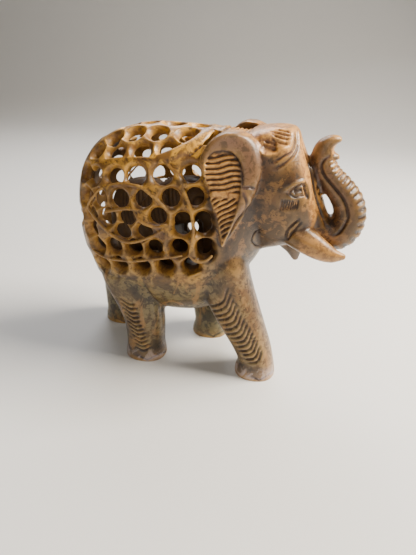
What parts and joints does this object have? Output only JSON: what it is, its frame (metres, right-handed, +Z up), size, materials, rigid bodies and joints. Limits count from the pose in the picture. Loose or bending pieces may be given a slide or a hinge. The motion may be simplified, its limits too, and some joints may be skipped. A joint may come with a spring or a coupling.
{
  "type": "openwork stone elephant sculpture",
  "caption": "Carved soapstone elephant with raised trunk, a pierced openwork body and a small calf standing inside the hollow.",
  "frame": {"origin": "centre of the bounding box in plan, on the plane of the four soles", "axes": "+X towards the head, +Y to the elephant's left, +Z up"},
  "size_m": [0.168, 0.0714, 0.1466],
  "materials": {
    "soapstone": "polished mottled ochre, brown and grey-green soapstone"
  },
  "bodies": {
    "root": {"elephant": "soapstone"}
  },
  "joints": []
}
